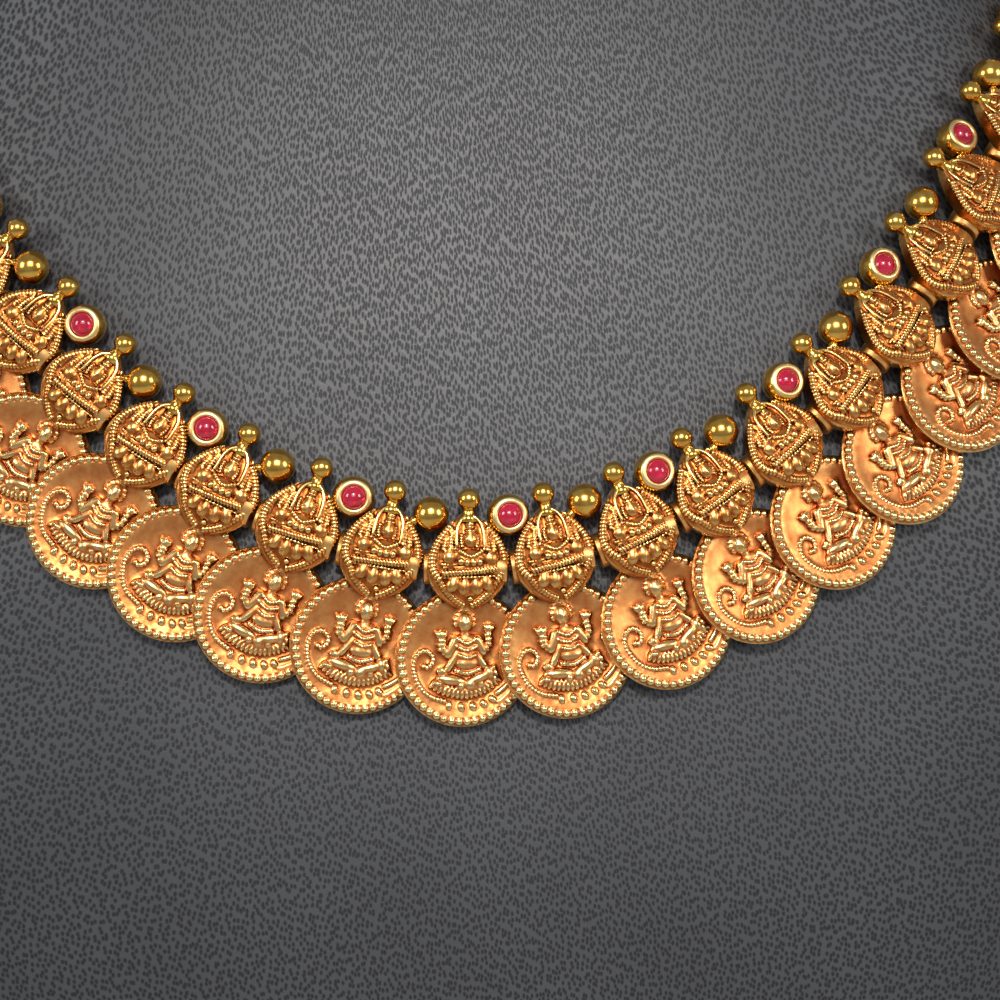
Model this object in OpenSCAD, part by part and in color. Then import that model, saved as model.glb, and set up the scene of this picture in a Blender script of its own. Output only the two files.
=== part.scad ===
// Coin necklace in antique gold on a neck bust, in millimetres.
// The origin is the middle of the foot's underside, +Z is up and the front faces -Y.
// The necklace follows one route round the bust. Each coin link hangs between two bends of
// its thread, and the coin's left edge lies over the coin before it.

/* [Bust] */
// Height of the neck's top edge
bust_h = 270; // [262:1:285]
// Half width of the foot
foot_w = 100; // [99:1:110]
// Half depth of the foot
foot_d = 61; // [60:1:70]
// Thickness of the foot
foot_t = 8; // [6:1:12]

/* [Route] */
// Height of the route at the front
front_z = 154; // [153.5:0.5:154.5]
// Length of route that one coin link takes
pitch = 9.4; // [9.35:0.05:9.5]
// Number of coin links
links = 24; // [16:4:24]

/* [Coin link] */
// Diameter of a coin
coin_d = 15; // [14.6:0.1:15.2]
// Thickness of the coin's plate
coin_t = 0.5; // [0.4:0.05:0.6]
// Tilt that lifts a coin's left edge over its neighbour
tilt = 8.7; // [8.5:0.1:9]
// Outer diameter of the tube behind a shield
tube_d = 2.8; // [2.6:0.1:3]
// Bore of the tube
bore_d = 1.6; // [1.5:0.1:1.7]
// Height of the shield from its point to its tip
shield_h = 10.9; // [10.6:0.1:11]
// Greatest width of the shield
shield_w = 8.8; // [8.4:0.1:8.9]
// Diameter of the plain spacer ball
ball_d = 3.7; // [3.4:0.1:3.8]
// Outer diameter of the round bezel
bezel_d = 4.4; // [4.2:0.1:4.6]
// Diameter of a ruby
ruby_d = 2.7; // [2.5:0.1:2.8]
// Diameter of the thread
thread_d = 0.9; // [0.8:0.1:1]

/* [Chain] */
// Radius of a ring at the middle of its wire
ring_r = 1.6; // [1.5:0.05:1.7]
// Diameter of the ring's wire
wire_d = 0.8; // [0.7:0.05:0.8]
// Target distance between ring centres
ring_pitch = 2.22; // [2.2:0.01:2.24]
// Diameter of the clasp's barrel
barrel_d = 2.6; // [2.4:0.1:2.8]
// Length of the clasp's barrel
barrel_l = 10; // [9:0.5:11]

/* [Hidden] */
$fn = 48;
// Room between the bust and what lies on it, and round a seated ruby.
gap = 0.3;
clear = 0.1;

// The bust's sections: height, half width, depth in front and depth behind.
WIDTH = 1;
FRONT = 2;
BACK = 3;
SECTIONS = [
    [0, 86, 50, 50],
    [60, 92, 57, 52],
    [110, 96, 58, 52],
    [150, 94, 48.5, 50],
    [175, 87, 39.5, 48],
    [195, 77, 32, 47],
    [212, 67, 27, 46],
    [230, 60, 24, 46],
    [255, 55.5, 23, 46],
    [290, 54, 23, 46]
];
squareness = 2.4;
bust_y = 5;
bust_sides = 48;
ring_step = 10;
edge_r = 6;

// Slope of a column at one row, from the rows on both sides of it. Column 0 is the key.
function slope_at(rows, row, column) =
    let (below = max(row - 1, 0), above = min(row + 1, len(rows) - 1))
    (rows[above][column] - rows[below][column]) / (rows[above][0] - rows[below][0]);

function row_below(rows, key, row = 0) =
    row >= len(rows) - 2 || rows[row + 1][0] > key ? row : row_below(rows, key, row + 1);

// A column of a table at any key, on a smooth curve through its rows.
function smooth_column(rows, key, column) =
    let (
        row = row_below(rows, key),
        step = rows[row + 1][0] - rows[row][0],
        u = (key - rows[row][0]) / step
    )
    (2 * u ^ 3 - 3 * u ^ 2 + 1) * rows[row][column]
    + (u ^ 3 - 2 * u ^ 2 + u) * step * slope_at(rows, row, column)
    + (3 * u ^ 2 - 2 * u ^ 3) * rows[row + 1][column]
    + (u ^ 3 - u ^ 2) * step * slope_at(rows, row + 1, column);

function section_at(z, column) = smooth_column(SECTIONS, z, column);

// A point of an oval section: angle 0 is the front, positive to the viewer's right.
function oval_point(angle, width, front, back) =
    let (
        depth = cos(angle) >= 0 ? front : back,
        reach = (abs(sin(angle) / width) ^ squareness
            + abs(cos(angle) / depth) ^ squareness) ^ (-1 / squareness)
    )
    [reach * sin(angle), bust_y - reach * cos(angle)];

function bust_point(angle, z) =
    let (p = oval_point(angle, section_at(z, WIDTH), section_at(z, FRONT), section_at(z, BACK)))
    [p.x, p.y, z];

function unit(v) = v / norm(v);
function square_to(v, axis) = unit(v - axis * (v * axis));
function plan_angle(p) = atan2(p.x, bust_y - p.y);

function bust_normal(angle, z) = unit(cross(
    bust_point(angle + 0.5, z) - bust_point(angle - 0.5, z),
    bust_point(angle, z + 0.1) - bust_point(angle, z - 0.1)));

// The route climbs from the front to the back of the neck: plan angle, rise over the front.
// Its first and last rows repeat their neighbours, so that it runs level there.
RISES = [
    [-15, 1.5],
    [0, 0],
    [15, 1.5],
    [30, 6.5],
    [45, 15],
    [60, 29],
    [75, 45],
    [90, 54.5],
    [110, 63],
    [140, 71.5],
    [180, 78.5],
    [220, 71.5]
];
function route_z(angle) = front_z + smooth_column(RISES, abs(angle), 1);
function route_point(angle) = bust_point(angle, route_z(angle));

route_step = 3;
half_steps = 180 / route_step;
// Length along the route from the front, and its plan angle.
LENGTHS = [
    for (i = 0, l = 0; i <= half_steps;
        i = i + 1,
        l = l + norm(route_point(i * route_step) - route_point((i - 1) * route_step)))
    [l, i * route_step]
];
half_route = LENGTHS[half_steps][0];
function route_angle(s) = sign(s) * lookup(abs(s), LENGTHS);

// A point over the route at length s, lifted off the bust.
function over_route(s, lift) =
    let (angle = route_angle(s))
    route_point(angle) + lift * bust_normal(angle, route_z(angle));

// A placement is [point, across, up, out]: across follows the route to the viewer's right.
function placement(point, across) =
    let (
        angle = plan_angle(point),
        out = square_to(bust_normal(angle, point.z), across)
    )
    [point, across, cross(out, across), out];

// A seat on one side of the route (-1 left, 1 right), with across leading to the back.
function seat(side, s, lift) =
    let (ahead = over_route(side * (s + 0.5), lift), behind = over_route(side * (s - 0.5), lift))
    placement(over_route(side * s, lift), unit(ahead - behind));

// A link's placement also leans with the bust below it, so that the coin clears the bust.
coin_drop = 9.9;
lean_reach = 14;
lean_gap = 2.0;
lean_rise = 2.3;
tube_lift = tube_d / 2 + gap + 0.05;
// The row stands off more towards its ends, and most on the right, where the coins pile up.
lift_from = 5.5;
lift_left = 0.012;
lift_right = 0.036;
function row_lift(k) =
    tube_lift + (k > 0 ? lift_right : lift_left) * max(0, abs(k) - lift_from) ^ 2;
function joint(k) = over_route(k * pitch, row_lift(k));
function link_seat(k) =
    let (
        a = joint(k),
        b = joint(k + 1),
        across = unit(b - a),
        middle = (a + b) / 2,
        flat = placement(middle, across),
        below = middle - lean_reach * flat[2],
        angle = plan_angle(below),
        low = bust_point(angle, below.z)
            + (lean_gap + lean_rise * ((k + 0.5) / 12) ^ 2) * bust_normal(angle, below.z),
        up = square_to(middle - low, across)
    )
    [middle, across, up, cross(across, up)];

module place(p)
    multmatrix([
        [p[1].x, p[2].x, p[3].x, p[0].x],
        [p[1].y, p[2].y, p[3].y, p[0].y],
        [p[1].z, p[2].z, p[3].z, p[0].z],
        [0, 0, 0, 1]])
        children();

// A round bar from a to b.
module bar(a, b, r)
    let (v = b - a)
    translate(a)
        rotate([0, acos(v.z / norm(v)), atan2(v.y, v.x)])
            cylinder(h = norm(v), r = r, $fn = 24);

module torus(r, wire_r)
    rotate_extrude()
        translate([r, 0])
            circle(r = wire_r, $fn = 24);

// Coin: a plate with a raised rim, and on it a seated figure on a lotus with raised hands.
rim_wire = 0.5;
rim_r = coin_d / 2 - rim_wire - 0.05;
module coin() {
    cylinder(h = coin_t, d = coin_d);
    translate([0, 0, coin_t])
        torus(rim_r, rim_wire);
    intersection() {
        translate([0, 0, coin_t - 0.2])
            seated_figure();
        translate([0, 0, coin_t / 2])
            cylinder(h = coin_d, d = coin_d - 1);
    }
}

hand_l = [-2.6, 2.1, 0.3];
hand_r = [2.5, 2.9, 0.3];
elbow_l = [-1.6, 0, 0.2];
elbow_r = [2.0, 0.6, 0.2];
module seated_figure() {
    translate([0, 3.1, 0])
        sphere(r = 1.15);
    translate([0, 1.05, -0.6])
        sphere(r = 1.7);
    translate([0, -1.2, -0.6])
        sphere(r = 1.6);
    translate(hand_l)
        sphere(r = 0.62);
    translate(hand_r)
        sphere(r = 0.66);
    bar(elbow_l, hand_l, 0.34);
    bar(elbow_r, hand_r, 0.36);
    translate([0, 0.2, 0])
        rotate([0, 0, 205])
            rotate_extrude(angle = 130)
                translate([3.3, 0])
                    circle(r = 0.85, $fn = 24);
}

// Shield: a domed leaf over the coin's top edge, with a figure under a pointed hood.
leaf_top = 6.2;
leaf_tip = leaf_top - shield_h;
leaf_belly = -0.3;
leaf_z = 0.9;
leaf_wall = 1.5;
dome_r = 13;
dome_rise = 1.0;
leaf_steps = 9;
// Half width of the leaf, u from 0 at its point to 1 at its belly, or from its tip below.
function leaf_half(u, fullness) = shield_w / 2 * sin(90 * u) ^ fullness;
LEAF_RIGHT = concat(
    [for (i = [0:leaf_steps])
        let (u = i / leaf_steps)
        [leaf_half(u, 0.85), leaf_top + (leaf_belly - leaf_top) * u]],
    [for (i = [leaf_steps - 1:-1:0])
        let (u = i / leaf_steps)
        [leaf_half(u, 0.6), leaf_tip + (leaf_belly - leaf_tip) * u]]);
module leaf()
    polygon(concat(
        LEAF_RIGHT,
        [for (i = [len(LEAF_RIGHT) - 2:-1:1]) [-LEAF_RIGHT[i].x, LEAF_RIGHT[i].y]]));

leaf_face = leaf_z + leaf_wall + dome_rise;
module shield() {
    intersection() {
        translate([0, 0, leaf_z])
            linear_extrude(leaf_wall + dome_rise)
                leaf();
        translate([0, leaf_top - shield_h / 2, leaf_face - dome_r])
            sphere(r = dome_r, $fn = 96);
    }
    translate([0, 1.9, leaf_face - 0.5])
        sphere(r = 1.15);
    for (side = [-1, 1]) {
        bar([side * 0.5, 5.0, leaf_face - 1.05], [side * 2.2, 2.0, leaf_face - 0.5], 0.34);
        translate([side * 2.5, 0.7, leaf_face - 0.7])
            sphere(r = 0.8);
    }
    bar([-2.6, -1.2, leaf_face - 0.3], [2.6, -1.0, leaf_face - 0.3], 0.36);
    for (side = [-1:1])
        translate([side * 1.3, -2.5 - 0.3 * (1 - abs(side)), leaf_face - 0.55])
            sphere(r = 0.6);
}

finial_d = 2.45;
finial_y = 7.3;
finial_z = 2.0;
module finial() {
    translate([0, finial_y, finial_z])
        sphere(d = finial_d);
    bar([0, leaf_top - 1.2, finial_z], [0, finial_y, finial_z], 0.55);
}

// Spacers stand beside the shield's right shoulder, on a short tab.
spacer_at = [4.3, 5.7, 2.1];
module spacer_tab()
    bar([1.6, 3.9, spacer_at.z], [spacer_at.x - 0.6, spacer_at.y - 0.4, spacer_at.z], 0.5);

module spacer_ball() {
    translate(spacer_at)
        sphere(d = ball_d);
    spacer_tab();
}

lip_z = 1.35;
seat_z = 0.45;
module bezel() {
    difference() {
        union() {
            translate(spacer_at)
                sphere(d = bezel_d);
            spacer_tab();
        }
        translate(spacer_at + [0, 0, lip_z])
            cylinder(h = bezel_d, d = 2 * bezel_d);
        translate(spacer_at + [0, 0, seat_z])
            cylinder(h = bezel_d, d = ruby_d + 2 * clear);
        translate(spacer_at + [0, 0, -bezel_d - 1.6])
            cylinder(h = bezel_d, d = 2 * bezel_d);
    }
}

girdle_h = 0.55;
ruby_dome = 0.95;
ruby_sphere = (ruby_d ^ 2 / 4 + ruby_dome ^ 2) / (2 * ruby_dome);
module ruby_stone()
    translate(spacer_at + [0, 0, seat_z + clear])
        intersection() {
            cylinder(h = girdle_h + ruby_dome, d = ruby_d);
            translate([0, 0, girdle_h + ruby_dome - ruby_sphere])
                sphere(r = ruby_sphere, $fn = 96);
        }

// The coin's back lies this far under the tube's axis.
coin_under = 0.55;
tube_end = 0.2;
tube_l = pitch - 2 * tube_end;
module across_tube(d, l)
    rotate([0, 90, 0])
        cylinder(h = l, d = d, center = true);

// The coins tilt more as the row climbs on the right, where each rests on the one before.
tilt_from = 3;
tilt_step = 1.3;
module tilted(k)
    rotate([0, tilt + tilt_step * max(0, k - tilt_from), 0])
        translate([0, 0, -coin_under])
            children();

first_link = -links / 2;
function is_bezel(k) = (k + 1) % 2 == 0;
module coin_link(k)
    color("goldenrod")
        place(link_seat(k))
            difference() {
                union() {
                    across_tube(tube_d, tube_l);
                    tilted(k) {
                        translate([0, -coin_drop, 0])
                            coin();
                        shield();
                        finial();
                        if (is_bezel(k))
                            bezel();
                        else
                            spacer_ball();
                    }
                }
                across_tube(bore_d, 3 * tube_l);
            }

module ruby(k)
    color("crimson")
        place(link_seat(k))
            tilted(k)
                ruby_stone();

// The thread bends where two tubes meet and ends inside the end caps. An end cap points from
// the row's last bend to the chain's first eye.
thread_sides = 8;
coin_end = links / 2 * pitch;
cap_start = 0.35;
cap_l = 4.2;
cap_bore = 3;
cap_d = 3;
eye_back = ring_r + wire_d / 2 - 0.3;
cap_eye = coin_end + cap_start + cap_l + eye_back;
chain_lift = barrel_d / 2 + gap + 0.45;
function cap_from(side) = joint(side * links / 2);
function cap_to(side) = over_route(side * cap_eye, chain_lift);
function cap_point(side, l) = cap_from(side) + l * unit(cap_to(side) - cap_from(side));
thread_end = cap_start + cap_bore - 0.4;
THREAD_AT = concat(
    [cap_point(-1, thread_end)],
    [for (k = [first_link:links / 2]) joint(k)],
    [cap_point(1, thread_end)]);
module thread() {
    last = len(THREAD_AT) - 1;
    points = [
        for (i = [0:last])
        let (
            along = unit(THREAD_AT[min(i + 1, last)] - THREAD_AT[max(i - 1, 0)]),
            p = placement(THREAD_AT[i], along)
        )
        for (side = [0:thread_sides - 1])
        let (angle = 360 * side / thread_sides)
        THREAD_AT[i] + thread_d / 2 * (cos(angle) * p[2] + sin(angle) * p[3])
    ];
    n = thread_sides;
    color("saddlebrown")
        polyhedron(
            points,
            concat(
                [[for (side = [0:n - 1]) side]],
                [[for (side = [n - 1:-1:0]) last * n + side]],
                [for (i = [0:last - 1], side = [0:n - 1])
                    [i * n + side, (i + 1) * n + side,
                    (i + 1) * n + (side + 1) % n, i * n + (side + 1) % n]]));
}

// Each ring and eye is turned across the one before it.
function turned(i) = i % 2 == 0 ? 45 : -45;

module eye(i)
    rotate([turned(i), 0, 0])
        torus(ring_r, wire_d / 2);

// An end cap takes the thread's end in a blind bore and carries the chain's first eye.
module end_cap(side) {
    reach = norm(cap_to(side) - cap_from(side));
    color("goldenrod")
        place(placement(cap_from(side), cap_point(side, 1) - cap_from(side)))
            difference() {
                union() {
                    rotate([0, 90, 0])
                        translate([0, 0, cap_start])
                            cylinder(h = reach - eye_back - cap_start, d1 = cap_d, d2 = 1.7);
                    translate([reach, 0, 0])
                        eye(0);
                }
                rotate([0, 90, 0])
                    cylinder(h = cap_start + cap_bore, d = bore_d);
            }
}

// Rings run from the cap's eye to the clasp's eye.
clasp_reach = barrel_l / 2 + eye_back;
clasp_eye = half_route - clasp_reach;
rings = ceil((clasp_eye - cap_eye) / ring_pitch) - 1;
ring_gap = (clasp_eye - cap_eye) / (rings + 1);
module chain(side)
    color("goldenrod")
        for (i = [1:rings])
            place(seat(side, cap_eye + i * ring_gap, chain_lift))
                eye(i);

module clasp() {
    left = over_route(-clasp_eye, chain_lift);
    right = over_route(clasp_eye, chain_lift);
    reach = norm(right - left) / 2;
    color("goldenrod")
        place(placement((left + right) / 2, unit(left - right))) {
            across_tube(barrel_d, 2 * (reach - eye_back));
            for (side = [-1, 1])
                translate([-side * reach, 0, 0])
                    rotate([side > 0 ? 0 : 2 * turned(rings), 0, 0])
                        eye(rings + 1);
        }
}

// The bust is one lofted shell from its foot to the neck's rounded top edge.
bust_floor = foot_t + 0.2;
ring_count = round((bust_h - edge_r - bust_floor) / ring_step);
edge_steps = 3;
RINGS = concat(
    [for (i = [0:ring_count])
        [bust_floor + (bust_h - edge_r - bust_floor) * i / ring_count, 0]],
    [for (i = [1:edge_steps])
        let (angle = 90 * i / edge_steps)
        [bust_h - edge_r + edge_r * sin(angle), edge_r * (1 - cos(angle))]]);
module neck_bust() {
    last = len(RINGS) - 1;
    n = bust_sides;
    points = [
        for (ring = RINGS, side = [0:n - 1])
        let (
            z = ring[0],
            inset = ring[1],
            p = oval_point(360 * side / n,
                section_at(z, WIDTH) - inset,
                section_at(z, FRONT) - inset,
                section_at(z, BACK) - inset)
        )
        [p.x, p.y, z]
    ];
    color("dimgray")
        polyhedron(
            points,
            concat(
                [[for (side = [0:n - 1]) side]],
                [[for (side = [n - 1:-1:0]) last * n + side]],
                [for (i = [0:last - 1], side = [0:n - 1])
                    [i * n + side, (i + 1) * n + side,
                    (i + 1) * n + (side + 1) % n, i * n + (side + 1) % n]]));
}

module foot()
    color("dimgray")
        linear_extrude(foot_t)
            polygon([for (side = [0:71])
                oval_point(5 * side, foot_w, foot_d + bust_y, foot_d - bust_y)]);

function numbered(name, i) = str(name, "_", i < 10 ? "0" : "", i);
RUBY_LINKS = [for (k = [first_link:links / 2 - 1]) if (is_bezel(k)) k];

for (i = [1:links])
    coin_link(first_link + i - 1);
for (i = [1:len(RUBY_LINKS)])
    ruby(RUBY_LINKS[i - 1]);
thread();
end_cap(-1);  // end_cap_left
end_cap(1);  // end_cap_right
chain(-1);  // chain_left
chain(1);  // chain_right
clasp();
neck_bust();
foot();
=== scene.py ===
# %% [markdown]
# # A gold coin necklace on a neck bust
#
# The necklace is a short coin necklace in cast gold with a coppery antique finish. Twenty-four
# links hang side by side on a thread: each is a relief coin under a domed shield, with a small
# ball on the shield's point and a plain ball or a ruby in a bezel beside it. It lies on a neck
# bust wrapped in dark grey leatherette, and a plain chain closes it behind the neck.
#
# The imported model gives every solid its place. This script keeps to its frame, in metres, and
# adds the detail and the finish of the real thing.

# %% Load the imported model
import math

import bmesh
import bpy
import numpy as np
from mathutils import Matrix, Vector


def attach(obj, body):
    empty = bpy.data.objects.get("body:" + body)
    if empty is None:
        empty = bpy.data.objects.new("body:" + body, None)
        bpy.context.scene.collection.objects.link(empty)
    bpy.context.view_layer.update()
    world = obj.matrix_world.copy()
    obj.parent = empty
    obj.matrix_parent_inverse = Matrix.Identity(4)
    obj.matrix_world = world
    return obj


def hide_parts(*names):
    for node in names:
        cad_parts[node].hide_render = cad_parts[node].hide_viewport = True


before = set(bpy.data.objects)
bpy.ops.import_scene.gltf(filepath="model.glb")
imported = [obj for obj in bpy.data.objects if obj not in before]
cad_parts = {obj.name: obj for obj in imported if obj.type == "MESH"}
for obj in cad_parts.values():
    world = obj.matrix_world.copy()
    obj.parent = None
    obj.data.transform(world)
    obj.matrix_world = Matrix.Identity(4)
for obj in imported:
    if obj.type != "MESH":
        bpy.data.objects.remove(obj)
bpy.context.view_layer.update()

print("packed nodes:", len(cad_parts))

# %% [markdown]
# ## The bust's shape
#
# A neck bust is a hard moulded form under a stretched skin. Its level sections are slightly
# squared ovals, so one table of sections, in millimetres, and one smooth curve through it give
# every point of its skin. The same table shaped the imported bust.

# %% A smooth curve through the rows of a table
WIDTH, FRONT, BACK = 1, 2, 3
SECTIONS = [
    (0, 86, 50, 50), (60, 92, 57, 52), (110, 96, 58, 52), (150, 94, 48.5, 50),
    (175, 87, 39.5, 48), (195, 77, 32, 47), (212, 67, 27, 46), (230, 60, 24, 46),
    (255, 55.5, 23, 46), (290, 54, 23, 46),
]
SQUARENESS = 2.4
BUST_Y = 5


def slope_at(rows, row, column):
    below, above = max(row - 1, 0), min(row + 1, len(rows) - 1)
    rise = rows[above][column] - rows[below][column]
    return rise / (rows[above][0] - rows[below][0])


def smooth_column(rows, key, column):
    """A column of a table at any key. Column 0 is the key."""
    row = 0
    while row < len(rows) - 2 and rows[row + 1][0] <= key:
        row += 1
    step = rows[row + 1][0] - rows[row][0]
    u = (key - rows[row][0]) / step
    return ((2 * u ** 3 - 3 * u ** 2 + 1) * rows[row][column]
            + (u ** 3 - 2 * u ** 2 + u) * step * slope_at(rows, row, column)
            + (3 * u ** 2 - 2 * u ** 3) * rows[row + 1][column]
            + (u ** 3 - u ** 2) * step * slope_at(rows, row + 1, column))


# %% Points and directions on the bust's skin
def oval_point(angle, width, front, back):
    """Angle 0 is the front, positive to the viewer's right."""
    s, c = math.sin(math.radians(angle)), math.cos(math.radians(angle))
    depth = front if c >= 0 else back
    reach = (abs(s / width) ** SQUARENESS + abs(c / depth) ** SQUARENESS) ** (-1 / SQUARENESS)
    return reach * s, BUST_Y - reach * c


def bust_point(angle, z, inset=0.0):
    sizes = [smooth_column(SECTIONS, z, column) - inset for column in (WIDTH, FRONT, BACK)]
    return Vector((*oval_point(angle, *sizes), z))


def bust_normal(angle, z):
    along = bust_point(angle + 0.5, z) - bust_point(angle - 0.5, z)
    up = bust_point(angle, z + 0.1) - bust_point(angle, z - 0.1)
    return along.cross(up).normalized()


def plan_angle(p):
    return math.degrees(math.atan2(p.x, BUST_Y - p.y))


# %% [markdown]
# ## The necklace's route
#
# A necklace at rest is one closed loop: low at the front, climbing over the shoulders, high
# behind the neck. Rather than place links one by one, a table says how far the loop has risen
# at each angle round the bust, and each link takes its share of the loop's length.

# %% The route
FRONT_Z = 154
PITCH = 9.4
LINKS = 24
RISES = [
    (-15, 1.5), (0, 0), (15, 1.5), (30, 6.5), (45, 15), (60, 29), (75, 45),
    (90, 54.5), (110, 63), (140, 71.5), (180, 78.5), (220, 71.5),
]
ROUTE_STEP = 3


def route_z(angle):
    return FRONT_Z + smooth_column(RISES, abs(angle), 1)


route_angles = list(range(0, 181, ROUTE_STEP))
route_points = [bust_point(angle, route_z(angle)) for angle in route_angles]
route_lengths = np.cumsum([0] + [(b - a).length for a, b in zip(route_points, route_points[1:])])
HALF_ROUTE = float(route_lengths[-1])


def route_angle(s):
    return math.copysign(float(np.interp(abs(s), route_lengths, route_angles)), s)


def over_route(s, lift):
    angle = route_angle(s)
    skin = bust_point(angle, route_z(angle))
    return skin + lift * bust_normal(angle, route_z(angle))


print("loop length in mm:", round(2 * HALF_ROUTE))

# %% [markdown]
# ## Where each link hangs
#
# The thread bends where two tubes meet, so a link's tube spans two bends. The link then leans
# with the bust below it, and turns a little about its own height so that its coin's left edge
# lies over the coin before it.

# %% Placements along the route
GAP = 0.3
TUBE_D = 2.8
TUBE_LIFT = TUBE_D / 2 + GAP + 0.05
LIFT_FROM, LIFT_LEFT, LIFT_RIGHT = 5.5, 0.012, 0.036
LEAN_REACH, LEAN_GAP, LEAN_RISE = 14, 2.0, 2.3
TILT, TILT_FROM, TILT_STEP = 8.7, 3, 1.3
COIN_UNDER = 0.55
MM = 0.001


def joint(k):
    spread = LIFT_RIGHT if k > 0 else LIFT_LEFT
    return over_route(k * PITCH, TUBE_LIFT + spread * max(0, abs(k) - LIFT_FROM) ** 2)


def square_to(v, axis):
    return (v - axis * v.dot(axis)).normalized()


def frame_at(point, across, up, out):
    """The matrix of a place given in mm, ready for a mesh modelled in mm."""
    turn = Matrix((across, up, out)).transposed().to_4x4()
    return Matrix.Scale(MM, 4) @ Matrix.Translation(point) @ turn


def link_seat(k):
    a, b = joint(k), joint(k + 1)
    across, middle = (b - a).normalized(), (a + b) / 2
    out = square_to(bust_normal(plan_angle(middle), middle.z), across)
    below = middle - LEAN_REACH * out.cross(across)
    angle = plan_angle(below)
    stand_off = LEAN_GAP + LEAN_RISE * ((k + 0.5) / 12) ** 2
    low = bust_point(angle, below.z) + stand_off * bust_normal(angle, below.z)
    up = square_to(middle - low, across)
    return frame_at(middle, across, up, across.cross(up))


def link_place(k):
    """From a link's own coordinates, in mm, to the frame."""
    turn = math.radians(TILT + TILT_STEP * max(0, k - TILT_FROM))
    drop = Matrix.Translation((0, 0, -COIN_UNDER))
    return link_seat(k) @ Matrix.Rotation(turn, 4, "Y") @ drop

# %% [markdown]
# ## Helpers for small metalwork
#
# The forms of a cast relief melt into each other, as the wax did. So a relief is roughed out as
# overlapping lumps, beads and wires, a voxel remesh fuses them into one skin, a little smoothing
# rounds the creases, and a decimation keeps the triangles where the surface bends. Everything
# small is modelled in millimetres round its own origin.

# %% Lumps, wires and smooth paths
def lump(bm, at, radii, turn=0.0, around=14):
    """An ellipsoid, turned about the relief's outward axis."""
    place = (Matrix.Translation(at) @ Matrix.Rotation(math.radians(turn), 4, "Z")
             @ Matrix.Diagonal((*radii, 1)))
    bmesh.ops.create_uvsphere(
        bm, u_segments=around, v_segments=around // 2, radius=1, matrix=place)


def stick(bm, a, b, r_a, r_b, around=14):
    """A round bar from a to b with rounded ends."""
    a, b = Vector(a), Vector(b)
    place = (Matrix.Translation((a + b) / 2)
             @ (b - a).to_track_quat("Z", "Y").to_matrix().to_4x4())
    bmesh.ops.create_cone(bm, cap_ends=True, segments=around, radius1=r_a, radius2=r_b,
                          depth=(b - a).length, matrix=place)
    lump(bm, a, (r_a, r_a, r_a), around=around)
    lump(bm, b, (r_b, r_b, r_b), around=around)


def smooth_path(corners, spacing):
    """Points at an equal spacing on a smooth curve through the corners."""
    corners = [Vector(c) for c in corners]
    padded = [corners[0], *corners, corners[-1]]
    dense = []
    for p, q, r, s in zip(padded, padded[1:], padded[2:], padded[3:]):
        for i in range(12):
            t = i / 12
            dense.append(0.5 * (2 * q + (r - p) * t + (2 * p - 5 * q + 4 * r - s) * t ** 2
                                + (3 * q - p - 3 * r + s) * t ** 3))
    dense.append(corners[-1])
    lengths = np.cumsum([0] + [(b - a).length for a, b in zip(dense, dense[1:])])
    stops = np.linspace(0, lengths[-1], max(2, round(lengths[-1] / spacing) + 1))
    columns = [np.interp(stops, lengths, [p[i] for p in dense]) for i in range(3)]
    return [Vector(p) for p in zip(*columns)]


def wire(bm, corners, radius, spacing=0.5):
    path = smooth_path(corners, spacing)
    for a, b in zip(path, path[1:]):
        stick(bm, a, b, radius, radius, around=10)


def rope(bm, corners, across, along, high, spacing, slant=0.0):
    """A row of short ribs across a path, as in twisted or notched wire."""
    path = smooth_path(corners, spacing)
    for i, p in enumerate(path):
        ahead = path[min(i + 1, len(path) - 1)] - path[max(i - 1, 0)]
        turn = math.degrees(math.atan2(ahead.y, ahead.x)) + slant
        lump(bm, p, (along, across, high), turn, around=10)


# %% Finishing a mesh
def finished(name, bm):
    """Turns a bmesh into an object with faces that point outwards."""
    bmesh.ops.remove_doubles(bm, verts=bm.verts, dist=1e-6)
    bmesh.ops.recalc_face_normals(bm, faces=bm.faces)
    for face in bm.faces:
        face.smooth = True
    mesh = bpy.data.meshes.new(name)
    bm.to_mesh(mesh)
    bm.free()
    piece = bpy.data.objects.new(name, mesh)
    bpy.context.scene.collection.objects.link(piece)
    return piece


def with_modifiers(piece):
    """Applies the modifiers and leaves a plain mesh."""
    scene_now = bpy.context.evaluated_depsgraph_get()
    mesh = bpy.data.meshes.new_from_object(piece.evaluated_get(scene_now))
    piece.modifiers.clear()
    old, piece.data = piece.data, mesh
    bpy.data.meshes.remove(old)


# %% [markdown]
# Patina stays in hollows and is rubbed off high spots. A point's height over its neighbourhood
# says which it is: positions are averaged with their neighbours' many times, and the distance
# back to the real surface, along the normal, is stored on the mesh.

# %% Height over the neighbourhood, for the patina
RELIEF_REACH = 44
RELIEF_FULL = 0.13


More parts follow.
